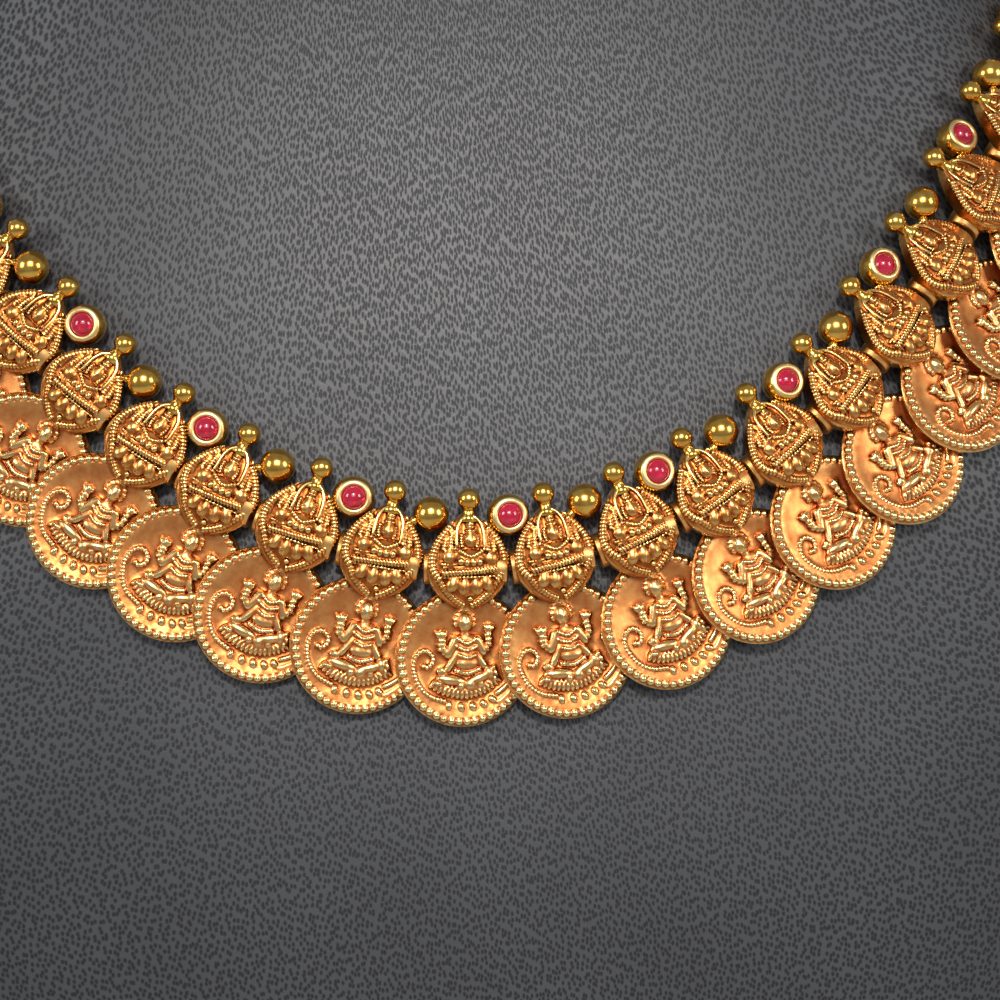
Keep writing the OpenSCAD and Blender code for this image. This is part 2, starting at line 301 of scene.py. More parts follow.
def note_relief(mesh):
    """Stores relief, about -1 in a hollow and 1 on a high spot of RELIEF_FULL mm."""
    count = len(mesh.vertices)
    at, normals = np.empty((count, 3)), np.empty((count, 3))
    mesh.vertices.foreach_get("co", at.ravel())
    mesh.vertices.foreach_get("normal", normals.ravel())
    ends = np.empty((len(mesh.edges), 2), dtype=np.int64)
    mesh.edges.foreach_get("vertices", ends.ravel())
    a, b = ends.T
    neighbours = np.bincount(a, minlength=count) + np.bincount(b, minlength=count)
    spread = at.copy()
    for _ in range(RELIEF_REACH):
        total = np.empty_like(spread)
        for axis in range(3):
            total[:, axis] = (np.bincount(a, spread[b, axis], count)
                              + np.bincount(b, spread[a, axis], count))
        spread = 0.5 * spread + 0.5 * total / np.maximum(neighbours, 1)[:, None]
    height = ((at - spread) * normals).sum(1) / RELIEF_FULL
    layer = mesh.attributes.new("relief", "FLOAT", "POINT")
    layer.data.foreach_set("value", np.clip(height, -1, 1).astype(np.float32))


def fused(piece, voxel, rounds, triangles):
    """One closed skin round everything in the piece, softened, measured and thinned."""
    remesh = piece.modifiers.new("fuse", "REMESH")
    remesh.mode, remesh.voxel_size, remesh.use_smooth_shade = "VOXEL", voxel, True
    soften = piece.modifiers.new("soften", "SMOOTH")
    soften.factor, soften.iterations = 0.5, rounds
    with_modifiers(piece)
    note_relief(piece.data)
    have = sum(len(p.vertices) - 2 for p in piece.data.polygons)
    thin = piece.modifiers.new("thin", "DECIMATE")
    thin.ratio = min(1, triangles / have)
    with_modifiers(piece)
    return piece


# %% [markdown]
# ## The coin
#
# Each coin is struck or cast with a beaded rim, a dished field and a seated figure on a lotus
# with raised hands that hold lotus buds. A boolean engraving could cut such a relief into a
# plate, but lumps on a lathe-turned plate follow how a wax carver builds it up. Wear flattens
# the highest parts, so at the end every height over WORN_FROM is scaled down.

# %% The coin's plate and beaded rim
COIN_R = 7.5
BEADS = 50
BEAD_RING_R = 6.84
BEAD_R = 0.47
BEAD_Z = 0.6
FIELD_Z = 0.25
DISH_R, DISH_RISE = 6.4, 0.62
WORN_FROM, WORN_TO = 0.6, 0.88


def lathe(bm, outline, steps):
    """A full turn of an outline of (radius, height) points about Z."""
    verts = [bm.verts.new((r, 0, z)) for r, z in outline]
    edges = [bm.edges.new(pair) for pair in zip(verts, verts[1:])]
    bmesh.ops.spin(bm, geom=verts + edges, axis=(0, 0, 1), cent=(0, 0, 0), dvec=(0, 0, 0),
                   angle=math.tau, steps=steps, use_merge=True, use_duplicate=False)


def coin_plate(bm):
    dish = [(r, FIELD_Z + DISH_RISE * (r / DISH_R) ** 4)
            for r in (DISH_R, 5.7, 5.0, 4.2, 3.2, 2.0, 0.0)]
    rim = [(0.0, 0.0), (7.2, 0.0), (COIN_R - 0.03, 0.06), (COIN_R, 0.16), (COIN_R - 0.03, 0.3),
           (7.3, 0.42), (6.9, 0.6)]
    lathe(bm, rim + dish, 96)
    for i in range(BEADS):
        turn = math.tau * i / BEADS
        at = (BEAD_RING_R * math.cos(turn), BEAD_RING_R * math.sin(turn), BEAD_Z)
        lump(bm, at, (BEAD_R, BEAD_R, BEAD_R), around=12)


# %% The seated figure
def lotus_bud(bm, x, y, turn, z=0.62):
    for side in (-1, 0, 1):
        lean = math.radians(turn + 34 * side)
        at = (x - 0.5 * math.sin(lean), y + 0.36 * math.cos(lean), z + 0.1 * (1 - abs(side)))
        lump(bm, at, (0.33, 0.56, 0.38), math.degrees(lean))
    lump(bm, (x, y - 0.02, z), (0.44, 0.3, 0.36), turn)


def calm_face(bm, x, y, z, size):
    """A plain, symmetric face: nose, closed eyes and mouth on an egg shape."""
    lump(bm, (x, y, z), (0.78 * size, size, 0.72 * size))
    front = z + 0.66 * size
    lump(bm, (x, y - 0.08 * size, front), (0.11 * size, 0.28 * size, 0.14 * size))
    lump(bm, (x, y - 0.5 * size, front - 0.1 * size), (0.22 * size, 0.07 * size, 0.09 * size))
    for side in (-1, 1):
        eye = (x + side * 0.33 * size, y + 0.12 * size, front - 0.1 * size)
        lump(bm, eye, (0.2 * size, 0.09 * size, 0.1 * size), side * -8)


def coin_figure(bm):
    lump(bm, (0.2, 0.2, 0.2), (1.9, 2.6, 0.52))
    lump(bm, (0.3, -2.0, 0.2), (3.2, 1.5, 0.5), 8)
    calm_face(bm, 0.0, 3.9, 0.66, 1.12)
    for i in range(9):
        turn = math.radians(-20 + 27.5 * i)
        lump(bm, (0.98 * math.cos(turn), 4.05 + 1.12 * math.sin(turn), 0.5), (0.34, 0.34, 0.36))
    lump(bm, (0.0, 5.2, 0.58), (0.62, 0.44, 0.46))
    lump(bm, (0.05, 2.7, 0.6), (0.52, 0.6, 0.46))
    for x, y, rx, ry in ((0.2, 1.35, 1.5, 0.95), (0.2, 2.1, 1.45, 0.55), (0.3, 0.3, 1.2, 0.9),
                         (0.35, -0.55, 1.35, 0.85)):
        lump(bm, (x, y, 0.52), (rx, ry, 0.64))
    rope(bm, [(-0.85, 2.2, 1.04), (0.2, 1.65, 1.2), (1.2, 2.15, 1.04)], 0.22, 0.17, 0.22, 0.33)
    rope(bm, [(-0.9, 1.35, 1.04), (0.2, 0.9, 1.18), (1.25, 1.3, 1.04)], 0.2, 0.17, 0.21, 0.33)
    rope(bm, [(-0.6, 0.4, 1.06), (0.3, 0.1, 1.16), (1.2, 0.4, 1.04)], 0.18, 0.17, 0.2, 0.33)
    arms = (((-1.0, 1.95), (-1.75, 0.45), (-2.4, 1.0), (-2.45, 1.9)),
            ((1.35, 2.0), (2.1, 0.8), (2.7, 1.55), (2.6, 2.6)))
    for shoulder, elbow, wrist, hand in arms:
        stick(bm, (*shoulder, 0.6), (*elbow, 0.55), 0.58, 0.52)
        rope(bm, [(*elbow, 0.55), (*wrist, 0.58), (*hand, 0.6)], 0.54, 0.34, 0.5, 0.46)
    lotus_bud(bm, -2.5, 2.2, 4)
    lotus_bud(bm, 2.6, 2.95, -8)
    lotus_bud(bm, -2.15, -1.75, 20, 0.5)
    stick(bm, (-0.8, 0.5, 0.5), (-1.75, -1.1, 0.5), 0.46, 0.42)
    stick(bm, (1.3, 0.4, 0.5), (2.15, -0.7, 0.5), 0.46, 0.5)
    rope(bm, [(-0.95, -1.3, 0.75), (0.35, -1.6, 0.82), (1.65, -1.15, 0.75)],
         0.3, 0.22, 0.34, 0.36, 20)


# %% The folded legs and the lotus seat
def coin_seat(bm):
    for x, y, rx, ry, turn in ((-1.35, -2.35, 1.8, 0.64, -8), (-2.8, -2.7, 0.62, 0.34, -14),
                               (1.75, -2.05, 1.6, 0.62, 24), (2.8, -1.55, 0.7, 0.84, 20)):
        lump(bm, (x, y, 0.55), (rx, ry, 0.7), turn)
    for x, y, r in ((0.75, -2.8, 0.74), (1.8, -2.7, 0.5), (3.25, -0.95, 0.34),
                    (3.5, -1.5, 0.36), (3.4, -2.1, 0.34), (-0.35, -2.95, 0.5)):
        lump(bm, (x, y, 0.62), (r, r, 0.58))
    rim = smooth_path([(-3.35, -2.75, 0.5), (-2.0, -3.5, 0.5), (0.2, -3.85, 0.5),
                       (2.2, -3.25, 0.5), (3.7, -2.05, 0.5)], 0.5)
    for i, p in enumerate(rim):
        out = math.degrees(math.atan2(p.y - 1.5, p.x)) - 90
        lump(bm, p, (0.29, 0.66, 0.5), out)
    rope(bm, [(-3.0, -2.6, 0.5), (-1.6, -3.15, 0.6), (0.3, -3.4, 0.6), (2.2, -2.75, 0.6),
              (3.3, -2.0, 0.5)], 0.28, 0.22, 0.42, 0.44)


# %% The border: petals, ridges and two scrolls
def coin_border(bm):
    for angle, r in ((-107, 5.4), (-92.5, 5.3), (-78.5, 5.35), (-65.5, 5.45), (-54, 5.5)):
        turn = math.radians(angle)
        at = (r * math.cos(turn), r * math.sin(turn), 0.55)
        lump(bm, at, (0.38, 0.56, 0.36), angle + 90 + 14)
    for r_a, r_b, first, last in ((5.2, 5.9, -46, -14), (6.05, 6.35, -52, -18)):
        ridge = []
        for i in range(6):
            turn = math.radians(first + (last - first) * i / 5)
            r = r_a + (r_b - r_a) * i / 5
            ridge.append((r * math.cos(turn), r * math.sin(turn), 0.62))
        wire(bm, ridge, 0.24, 0.45)
    left = [(-2.05, -4.65), (-3.6, -4.15), (-4.7, -3.15), (-5.35, -1.8), (-5.5, -0.5),
            (-5.0, 0.5), (-4.15, 0.8), (-3.45, 0.25), (-3.45, -0.5), (-3.95, -1.0), (-4.45, -0.85)]
    right = [(5.0, -1.0), (5.45, 0.0), (5.2, 1.1), (4.55, 1.35), (4.1, 0.8), (4.3, 0.25)]
    for scroll in (left, right):
        wire(bm, [(x, y, 0.5) for x, y in scroll], 0.24, 0.5)
        rope(bm, [(x, y, 0.58) for x, y in scroll], 0.31, 0.19, 0.3, 0.4)


bm = bmesh.new()
coin_plate(bm)
coin_figure(bm)
coin_seat(bm)
coin_border(bm)

for vert in bm.verts:
    vert.co.z = min(vert.co.z, WORN_FROM + WORN_TO * (vert.co.z - WORN_FROM))
coin = fused(finished("coin", bm), voxel=0.07, rounds=1, triangles=17500)
print("coin triangles:", len(coin.data.polygons))

# %% [markdown]
# ## The shield
#
# A domed leaf hides the coin's top edge. On it a small figure looks out from under a pointed
# hood, with a twisted waist band, petals below it and ribbed borders of notched wire. The dome
# comes from ever smaller copies of the leaf's outline, each raised to the dome.

# %% The shield's domed body
LEAF_TOP, LEAF_BELLY, LEAF_H, LEAF_W = 6.2, -0.3, 10.9, 8.8
LEAF_Z, LEAF_FACE, DOME_R = 0.9, 3.4, 13
LEAF_MIDDLE = Vector((0, LEAF_TOP - LEAF_H / 2))
SHIELD_WORN_TO = 0.8


def dome(x, y, sink=0.0):
    """The point of the shield's face over x and y, sunk by sink."""
    away = x * x + (y - LEAF_MIDDLE.y) ** 2
    return Vector((x, y, LEAF_FACE - DOME_R + math.sqrt(DOME_R ** 2 - away) - sink))


def leaf_side():
    steps = 12
    tip = LEAF_TOP - LEAF_H
    upper = [(LEAF_W / 2 * math.sin(math.pi / 2 * i / steps) ** 0.85,
              LEAF_TOP + (LEAF_BELLY - LEAF_TOP) * i / steps) for i in range(steps + 1)]
    lower = [(LEAF_W / 2 * math.sin(math.pi / 2 * i / steps) ** 0.6,
              tip + (LEAF_BELLY - tip) * i / steps) for i in range(steps - 1, -1, -1)]
    return upper + lower


def leaf_body(bm):
    right = leaf_side()
    outline = right + [(-x, y) for x, y in right[-2:0:-1]]
    base = bm.faces.new([bm.verts.new((x, y, LEAF_Z)) for x, y in outline])
    edges, size = list(base.edges), 1.0
    for share in (1.0, 0.97, 0.8, 0.6, 0.4, 0.2):
        made = bmesh.ops.extrude_edge_only(bm, edges=edges)["geom"]
        edges = [part for part in made if isinstance(part, bmesh.types.BMEdge)]
        for vert in (part for part in made if isinstance(part, bmesh.types.BMVert)):
            flat = LEAF_MIDDLE + (vert.co.xy - LEAF_MIDDLE) * share / size
            vert.co = dome(*flat, sink=0.35 if share == 1.0 else 0.2)
        size = share
    bmesh.ops.contextual_create(bm, geom=edges)


# %% The figure under its hood
def on_dome(points, sink=0.0):
    return [dome(x, y, sink) for x, y in points]


def shield_figure(bm):
    face = dome(0.12, 2.95)
    calm_face(bm, face.x, face.y, face.z - 0.42, 1.08)
    for y, half in ((4.75, 0.36), (4.35, 0.5), (3.95, 0.64)):
        lump(bm, dome(0.1, y, 0.08), (half, 0.18, 0.4))
    lump(bm, dome(0.08, 4.4, 0.35), (0.58, 0.95, 0.52))
    for side in (-1, 1):
        hair = [(side * 0.85, 3.5), (side * 0.92, 2.9), (side * 0.8, 2.3)]
        rope(bm, on_dome(hair, 0.1), 0.2, 0.16, 0.26, 0.32)
    lump(bm, dome(0.1, 1.0, 0.5), (1.85, 1.15, 0.78))
    for side in (-1, 1):
        shoulder = [(side * 1.2, 1.95), (side * 1.75, 2.0), (side * 2.6, 1.75)]
        rope(bm, on_dome(shoulder, 0.12), 0.24, 0.2, 0.3, 0.34)
        hip = [(side * 1.1, 0.5), (side * 1.9, 0.25), (side * 2.9, 0.35)]
        rope(bm, on_dome(hip, 0.12), 0.2, 0.2, 0.3, 0.34)
    rope(bm, on_dome([(-1.1, 1.8), (0.1, 1.2), (1.3, 1.8)], -0.22), 0.24, 0.18, 0.24, 0.36)
    for x in (-0.95, -0.3, 0.4, 1.1):
        lump(bm, dome(x, 0.55 + 0.1 * abs(x - 0.1), -0.12), (0.36, 0.44, 0.36))
    for side, x, y in ((-1, -2.1, 1.1), (1, 2.4, 1.0)):
        lump(bm, dome(x, y, 0.15), (0.8, 0.8, 0.5))
        for i in range(6):
            turn = math.tau * i / 6
            at = dome(x + 0.54 * math.cos(turn), y + 0.54 * math.sin(turn), 0.02)
            lump(bm, at, (0.23, 0.23, 0.22))
        lump(bm, dome(x, y, -0.16), (0.34, 0.34, 0.24))
        stick(bm, dome(side * 1.1, 1.5, 0.25), dome(x, y - 0.1, 0.2), 0.4, 0.36)


def shield_hood(bm):
    wire(bm, on_dome([(0.06, 5.7), (-0.85, 5.15), (-1.3, 4.3), (-1.42, 3.3), (-1.42, 2.4)]), 0.2)
    wire(bm, on_dome([(0.06, 5.7), (0.9, 5.2), (1.42, 4.4), (1.6, 3.4), (1.66, 2.3)]), 0.2)
    for side in (-1, 1):
        for row, (x, top) in enumerate(((1.95, 3.9), (2.62, 3.2))):
            fold = [(side * (x - 0.2), top), (side * x, top - 0.8), (side * (x + 0.1), 1.95)]
            rope(bm, on_dome(fold, 0.06 + 0.05 * row), 0.34, 0.2, 0.28, 0.34)


# %% The waist band, the petals and the notched borders
def shield_lower(bm):
    rope(bm, on_dome([(-2.75, -0.62), (0, -0.42), (2.9, -0.05)], -0.03), 0.46, 0.2, 0.4, 0.36, 24)
    wire(bm, on_dome([(-2.7, -0.02), (0, 0.08), (2.8, 0.32)], 0.02), 0.15)
    rope(bm, on_dome([(-2.6, -1.12), (0, -1.02), (2.7, -0.85)], 0.05), 0.16, 0.2, 0.24, 0.42)
    for x, y, turn in ((-1.65, -1.75, -34), (-0.45, -2.0, -10), (0.85, -1.95, 14),
                       (1.95, -1.6, 38)):
        lump(bm, dome(x, y, 0.2), (0.76, 0.98, 0.62), turn)
        lump(bm, dome(x, y - 0.1, -0.22), (0.17, 0.6, 0.26), turn)
    for turn in (-52, -30, -10, 12, 34):
        a = math.radians(turn)
        start, end = (0.2 + 0.5 * math.sin(a), -3.3 + 0.5 * math.cos(a)), (
            0.2 + 1.3 * math.sin(a), -3.45 + 1.3 * math.cos(a))
        wire(bm, on_dome([start, end], 0.08), 0.15)
    lump(bm, dome(0.22, -3.35, 0.02), (0.3, 0.3, 0.3))


def shield_border(bm):
    for side in (-1, 1):
        upper = [(side * 2.0, 4.25), (side * 3.05, 3.05), (side * 3.75, 1.75), (side * 3.98, 0.6),
                 (side * 3.7, -0.5), (side * 3.15, -1.2)]
        rope(bm, on_dome(upper, 0.14), 0.52, 0.25, 0.42, 0.4)
        inner = [(side * 1.75, 4.9), (side * 2.45, 3.85), (side * 3.2, 2.3), (side * 3.4, 0.9)]
        wire(bm, on_dome(inner, 0.16), 0.14)
        lower = [(side * 3.1, -1.35), (side * 2.4, -2.5), (side * 1.3, -3.55), (side * 0.5, -4.05)]
        rope(bm, on_dome(lower, 0.18), 0.42, 0.25, 0.38, 0.4)
        edge = [(side * 3.6, -1.3), (side * 2.85, -2.7), (side * 1.6, -3.85), (0, -4.45)]
        wire(bm, on_dome(edge, 0.3), 0.2)


bm = bmesh.new()
leaf_body(bm)
shield_figure(bm)
shield_hood(bm)
shield_lower(bm)
shield_border(bm)

for vert in bm.verts:
    skin_z = dome(vert.co.x, vert.co.y).z
    vert.co.z = min(vert.co.z, skin_z + SHIELD_WORN_TO * (vert.co.z - skin_z))
shield = fused(finished("shield", bm), voxel=0.06, rounds=2, triangles=14500)
print("shield triangles:", len(shield.data.polygons))

# %% [markdown]
# ## Balls, bezel and tube
#
# These are turned work: the finial on the shield's point, the plain spacer ball, the bezel cup
# that holds a ruby and the tube that the thread runs through. A lathe outline gives each its
# bore, lip or neck in one go, where stacked spheres would leave a crease. The balls and bezels
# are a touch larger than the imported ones, and the tube is oval, as on the real necklace.

# %% Turned parts
BALL_D, BEZEL_D, RUBY_D, BORE_D = 3.85, 4.6, 2.7, 1.6
SPACER = Vector((4.3, 5.7, 2.1))
FINIAL_Y, FINIAL_Z, FINIAL_R = 7.3, 2.0, 1.225
LIP_Z, LIP_R = 1.25, 1.78
TUBE_SWELL = 1.38


def arc(radius, first, last, steps, centre=(0, 0)):
    """Outline points of a circle; 0 degrees is on the axis, at the top."""
    turns = [math.radians(first + (last - first) * i / steps) for i in range(steps + 1)]
    return [(centre[0] + radius * math.sin(t), centre[1] + radius * math.cos(t)) for t in turns]


def turned(outline, place, steps=32):
    bm = bmesh.new()
    lathe(bm, outline, steps)
    bmesh.ops.remove_doubles(bm, verts=bm.verts, dist=1e-5)
    bmesh.ops.transform(bm, matrix=place, verts=bm.verts)
    return bm


def finial():
    neck = [(0.6, -1.3), (0.78, -1.8), (1.15, -2.4), (0.0, -2.4)]
    up = Matrix.Translation((0, FINIAL_Y, FINIAL_Z)) @ Matrix.Rotation(-math.pi / 2, 4, "X")
    return turned(arc(FINIAL_R, 0, 148, 12) + neck, up, 28)


def spacer_ball():
    return turned(arc(BALL_D / 2, 0, 180, 20), Matrix.Translation(SPACER), 40)


def bezel():
    r = BEZEL_D / 2
    lip, back, seat = 1.4, -1.6, 0.45
    well = RUBY_D / 2 + 0.1
    mouth = RUBY_D / 2 - 0.06
    top_turn, back_turn = math.degrees(math.acos(lip / r)), math.degrees(math.acos(back / r))
    cup = arc(r, top_turn + 3, back_turn, 14)
    outline = [(0.0, seat), (well, seat), (well, lip - 0.3), (mouth, lip - 0.2),
               (mouth + 0.02, lip - 0.04), (mouth + 0.14, lip + 0.05), (mouth + 0.34, lip + 0.06),
               *cup, (0.0, back)]
    return turned(outline, Matrix.Translation(SPACER), 40)


def tab():
    bm = bmesh.new()
    stick(bm, (1.6, 3.9, 2.0), (SPACER.x - 0.6, SPACER.y - 0.4, SPACER.z), 0.55, 0.5)
    return bm


def tube():
    """Pressed a little oval, fuller at the front where it shows between two shields."""
    half, wall, bore = PITCH / 2 - 0.2, TUBE_D / 2, BORE_D / 2
    outline = [(bore, -half), (wall - 0.1, -half), (wall, -half + 0.1), (wall, half - 0.1),
               (wall - 0.1, half), (bore, half), (bore, -half)]
    bm = turned(outline, Matrix.Rotation(math.pi / 2, 4, "Y"), 32)
    for vert in bm.verts:
        vert.co.y *= TUBE_SWELL
        vert.co.z *= TUBE_SWELL if vert.co.z > 0 else 1
    return bm


def cabochon():
    """The ruby: a flat back, a short girdle and a high dome."""
    foot, girdle, high = 0.55, 0.55, 0.95
    r = RUBY_D / 2
    sphere = (r ** 2 + high ** 2) / (2 * high)
    cap = arc(sphere, 0, math.degrees(math.asin(r / sphere)), 12,
              (0, foot + girdle + high - sphere))
    outline = cap + [(r, foot + 0.08), (r - 0.08, foot), (0.0, foot)]
    return turned(outline, Matrix.Translation(SPACER), 36)

# %% [markdown]
# ## Helpers for materials
#
# Colours are written as the hex values of a paint program. One function turns them to the
# renderer's linear values, and one adds a node with its settings and links, so that each
# material below reads from top to bottom.

# %% Colours and nodes
def hex_colour(code):
    parts = [int(code[i:i + 2], 16) / 255 for i in (1, 3, 5)]
    return [c / 12.92 if c <= 0.04045 else ((c + 0.055) / 1.055) ** 2.4 for c in parts] + [1.0]


def add_node(tree, kind, settings=None, inputs=None):
    """Adds a node. A socket given as an input is linked, and anything else is its value."""
    node = tree.nodes.new(kind)
    for name, value in (settings or {}).items():
        setattr(node, name, value)
    for name, value in (inputs or {}).items():
        if isinstance(value, bpy.types.NodeSocket):
            tree.links.new(value, node.inputs[name])
        else:
            node.inputs[name].default_value = value
    return node


def new_material(name, coordinates="Object"):
    """An empty node material, its nodes and the coordinates that lay out its patterns."""
    material = bpy.data.materials.new(name)
    material.use_nodes = True
    tree = material.node_tree
    tree.nodes.clear()
    return material, tree, add_node(tree, "ShaderNodeTexCoord").outputs[coordinates]


def set_stops(ramp, stops):
    """Colours along a ramp, as (position, hex)."""
    band = ramp.color_ramp.elements
    while len(band) < len(stops):
        band.new(0.5)
    for element, (position, code) in zip(band, stops):
        element.position, element.color = position, hex_colour(code)


# %% [markdown]
# ## Antique gold
#
# The coins and shields are cast gold, chased, dipped in a coppery antiquing wash and rubbed
# back. To the eye that is pale, glossy gold on every high spot, matt copper on the fields and
# red-brown in the crevices. Ambient occlusion finds the crevices, the height stored on the mesh
# finds the high spots, a noise breaks the edges of both, and fine scratches roughen it all.
# The shields keep more of the wash than the coins. The tubes get a paler wash, painted light
# that keeps them bright in the shade between the shields.

# %% Antique gold
CREVICE_MM = 0.55
STAIN_MM = 1.3
SCRATCH_MM = 0.2


def per_mm(size_mm):
    """The scale of a texture on Object coordinates whose features are this many mm wide."""
    return 1 / (size_mm * MM)


def antique_gold(name, wash, worn, gloss, matt, rubbed_from):
    """Colours of the wash from crevice to field, the rubbed colour and two roughnesses."""
    material, tree, place = new_material(name)
    relief = add_node(tree, "ShaderNodeAttribute", {"attribute_name": "relief"}).outputs["Fac"]
    shelter = add_node(tree, "ShaderNodeAmbientOcclusion", {"samples": 6, "only_local": True}, {
        "Distance": CREVICE_MM * MM}).outputs["AO"]
    cloud = add_node(tree, "ShaderNodeTexNoise", inputs={
        "Vector": place, "Scale": per_mm(STAIN_MM), "Detail": 5.0,
        "Roughness": 0.65}).outputs["Fac"]
    uneven = add_node(tree, "ShaderNodeMath", {"operation": "MULTIPLY_ADD"}, {
        0: cloud, 1: 0.7, 2: -0.35}).outputs[0]
    bare = add_node(tree, "ShaderNodeMath", {"operation": "ADD"}, {
        0: shelter, 1: uneven}).outputs[0]
    left = add_node(tree, "ShaderNodeMapRange", inputs={
        "Value": bare, "From Min": 0.36, "From Max": 1.12}).outputs["Result"]
    patina = add_node(tree, "ShaderNodeValToRGB", inputs={"Fac": left}).outputs["Color"]
    set_stops(tree.nodes[-1], wash)
    rubbed = add_node(tree, "ShaderNodeMath", {"operation": "MULTIPLY_ADD"}, {
        0: uneven, 1: 0.6, 2: relief}).outputs[0]
    share = add_node(tree, "ShaderNodeMapRange", {"interpolation_type": "SMOOTHSTEP"}, {
        "Value": rubbed, "From Min": rubbed_from, "From Max": 0.55}).outputs["Result"]
    colour = add_node(tree, "ShaderNodeMix", {"data_type": "RGBA"}, {
        0: share, 6: patina, 7: hex_colour(worn)}).outputs[2]
    rough = add_node(tree, "ShaderNodeMapRange", inputs={
        "Value": share, "To Min": matt, "To Max": gloss}).outputs["Result"]
    scratches = add_node(tree, "ShaderNodeTexNoise", inputs={
        "Vector": place, "Scale": per_mm(SCRATCH_MM), "Detail": 3.0}).outputs["Fac"]
    bump = add_node(tree, "ShaderNodeBump", inputs={
        "Height": scratches, "Strength": 0.5, "Distance": 0.02 * MM}).outputs["Normal"]
    shader = add_node(tree, "ShaderNodeBsdfPrincipled", inputs={
        "Base Color": colour, "Metallic": 1.0, "Roughness": rough, "Normal": bump})
    add_node(tree, "ShaderNodeOutputMaterial", inputs={"Surface": shader.outputs["BSDF"]})
    return material


WASH = [(0.0, "#481A0C"), (0.3, "#8C3C1E"), (0.6, "#CC723C"), (0.95, "#ECA460")]
# The tubes' paler wash is painted light, to keep them bright in the shade between the shields.
TUBE_PAINTED_LIGHT_WASH = [(0.0, "#B0642F"), (0.5, "#E8A45C"), (1.0, "#F8CC84")]
DEEP = [(0.0, "#3A150A"), (0.3, "#783418"), (0.6, "#B4602C"), (0.95, "#DC8E46")]
cast_gold = antique_gold("cast_gold_coppery_antique", WASH, worn="#F8E29C",
                         gloss=0.18, matt=0.38, rubbed_from=-0.05)
shield_gold = antique_gold("cast_gold_copper_washed", DEEP, worn="#F4D484",
                           gloss=0.18, matt=0.32, rubbed_from=0.02)
tube_gold = antique_gold("tube_gold_coppery_painted_lighter", TUBE_PAINTED_LIGHT_WASH, worn="#F4CC80",
                         gloss=0.2, matt=0.34, rubbed_from=0.02)

# %% [markdown]
# ## Polished gold
#
# Balls, bezels, finials and the back chain are burnished. A burnished ball mirrors the room,
# with a faint orange-peel unevenness that keeps its highlights from looking computed. The lip
# pressed over each stone is satin: rougher, and painted paler as a highlight, so it stays bright
# from every side.

# %% Polished gold
def polished_gold(name, dark, light, smoothest, roughest):
    material, tree, place = new_material(name)
    waves = add_node(tree, "ShaderNodeTexNoise", inputs={
        "Vector": place, "Scale": per_mm(1.1), "Detail": 2.0}).outputs["Fac"]
    tint = add_node(tree, "ShaderNodeValToRGB", inputs={"Fac": waves})
    set_stops(tint, [(0.35, dark), (0.65, light)])
    rough = add_node(tree, "ShaderNodeMapRange", inputs={
        "Value": waves, "To Min": smoothest, "To Max": roughest}).outputs["Result"]
    bump = add_node(tree, "ShaderNodeBump", inputs={
        "Height": waves, "Strength": 0.2, "Distance": 0.03 * MM}).outputs["Normal"]
    shader = add_node(tree, "ShaderNodeBsdfPrincipled", inputs={
        "Base Color": tint.outputs["Color"], "Metallic": 1.0, "Roughness": rough,
        "Normal": bump})
    add_node(tree, "ShaderNodeOutputMaterial", inputs={"Surface": shader.outputs["BSDF"]})
    return material


burnished = polished_gold("burnished_yellow_gold", "#E4A84A", "#F2C664", 0.13, 0.24)
# The lip's paler colour is a painted highlight; its higher roughness is the satin finish.
satin_lip_painted_highlight = polished_gold("satin_gold_bezel_lip_painted_highlight", "#F2CE84", "#FBE2A4", 0.3, 0.4)

# %% [markdown]
# ## Ruby
#
# The stones are ruby cabochons: polished domes without facets, deep pink-red, lit from inside
# by the gold cup under them. A real ruby's index of refraction is 1.77. The stones are cloudy,
# so half of the light passes through and the other half is scattered in the stone's colour.

# %% Ruby
def ruby_cabochon():
    material, tree, place = new_material("ruby_cabochon_polished")
    silk = add_node(tree, "ShaderNodeTexNoise", inputs={
        "Vector": place, "Scale": per_mm(0.9), "Detail": 4.0}).outputs["Fac"]
    tint = add_node(tree, "ShaderNodeValToRGB", inputs={"Fac": silk})
    set_stops(tint, [(0.3, "#BC0430"), (0.7, "#E61C50")])
    shader = add_node(tree, "ShaderNodeBsdfPrincipled", inputs={
        "Base Color": tint.outputs["Color"], "Roughness": 0.04, "IOR": 1.77,
        "Transmission Weight": 0.5})
    add_node(tree, "ShaderNodeOutputMaterial", inputs={"Surface": shader.outputs["BSDF"]})
    return material


ruby_red = ruby_cabochon()

# %% [markdown]
# ## Leatherette
#
# The bust is wrapped in dark grey PVC leatherette. Its embossed grain is a field of small oval
# pits about 0.6 mm apart, pulled longer up the bust by the stretch. Painted shade darkens the
# pits, and the ground between them keeps a lighter grey and shines a little. The grain lies on the
# bust's own UV map, measured in metres along its skin, so it doesn't thin out where the skin turns
# away.
# The foot has no such map, so its pits are cut from a pattern in three dimensions.

# %% Leatherette
PIT_PITCH = 0.62
GRAIN_TURN = 20
CLOUD_MM = 26


